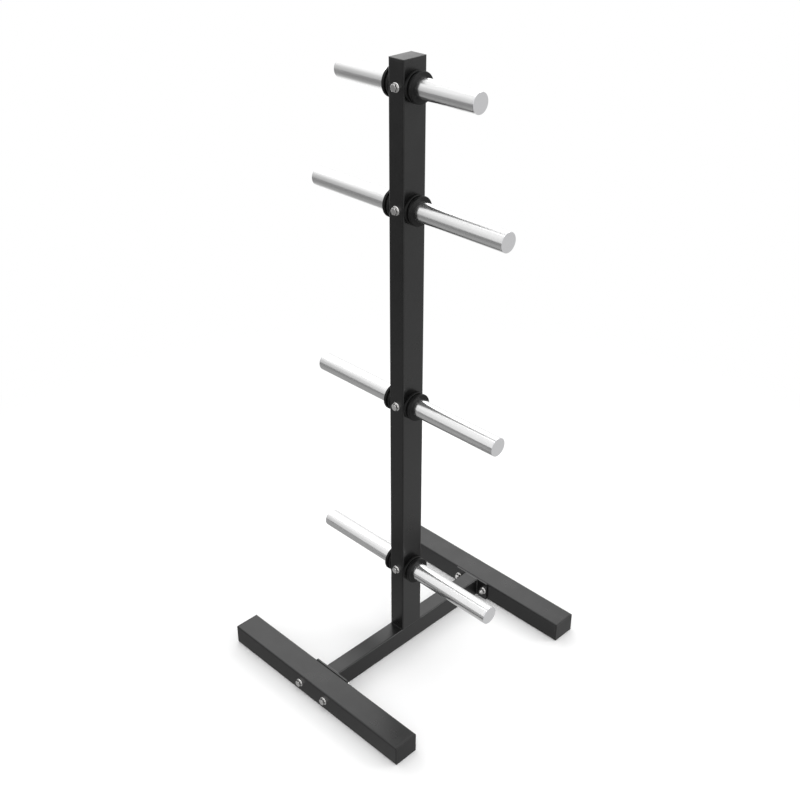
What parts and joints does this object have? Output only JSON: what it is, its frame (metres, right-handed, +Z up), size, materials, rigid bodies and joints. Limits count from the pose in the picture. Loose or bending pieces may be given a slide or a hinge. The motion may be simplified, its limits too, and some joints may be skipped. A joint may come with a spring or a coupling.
{
  "type": "plate tree",
  "caption": "Free-standing plate tree: a black upright on an H-shaped base carries chrome storage pegs with spool collars on both sides, for weight plates.",
  "frame": {"origin": "on the floor, under the centre of the upright", "axes": "+X along the pegs and the feet, to the right side; +Y along the crossbar, to the rear foot, where the peg bolts have their nuts; +Z up"},
  "size_m": [0.4, 0.4572, 1.025],
  "materials": {
    "powder_coat": "satin black powder coat with a fine texture",
    "cap_plastic": "moulded black plastic, satin",
    "peg_chrome": "bright chrome plate",
    "plug_chrome": "satin chrome plate",
    "collar_rubber": "black moulded rubber, satin",
    "zinc_steel": "bright zinc-plated steel"
  },
  "bodies": {
    "root": {"upright_tube": "powder_coat", "upright_cap": "cap_plastic", "crossbar_tube": "powder_coat", "front_end_plate": "powder_coat", "rear_end_plate": "powder_coat", "front_foot_tube": "powder_coat", "rear_foot_tube": "powder_coat", "front_foot_left_cap": "cap_plastic", "front_foot_right_cap": "cap_plastic", "rear_foot_left_cap": "cap_plastic", "rear_foot_right_cap": "cap_plastic", "top_peg": "peg_chrome", "upper_peg": "peg_chrome", "lower_peg": "peg_chrome", "bottom_peg": "peg_chrome", "top_left_plug": "plug_chrome", "top_right_plug": "plug_chrome", "upper_left_plug": "plug_chrome", "upper_right_plug": "plug_chrome", "lower_left_plug": "plug_chrome", "lower_right_plug": "plug_chrome", "bottom_left_plug": "plug_chrome", "bottom_right_plug": "plug_chrome", "top_left_collar": "collar_rubber", "top_right_collar": "collar_rubber", "upper_left_collar": "collar_rubber", "upper_right_collar": "collar_rubber", "lower_left_collar": "collar_rubber", "lower_right_collar": "collar_rubber", "bottom_left_collar": "collar_rubber", "bottom_right_collar": "collar_rubber", "top_peg_bolt": "zinc_steel", "upper_peg_bolt": "zinc_steel", "lower_peg_bolt": "zinc_steel", "bottom_peg_bolt": "zinc_steel", "top_peg_nut": "zinc_steel", "upper_peg_nut": "zinc_steel", "lower_peg_nut": "zinc_steel", "bottom_peg_nut": "zinc_steel", "top_peg_washers": "zinc_steel", "upper_peg_washers": "zinc_steel", "lower_peg_washers": "zinc_steel", "bottom_peg_washers": "zinc_steel", "front_foot_bolts": "zinc_steel", "rear_foot_bolts": "zinc_steel", "front_foot_nuts": "zinc_steel", "rear_foot_nuts": "zinc_steel", "front_foot_washers": "zinc_steel", "rear_foot_washers": "zinc_steel"}
  },
  "joints": []
}
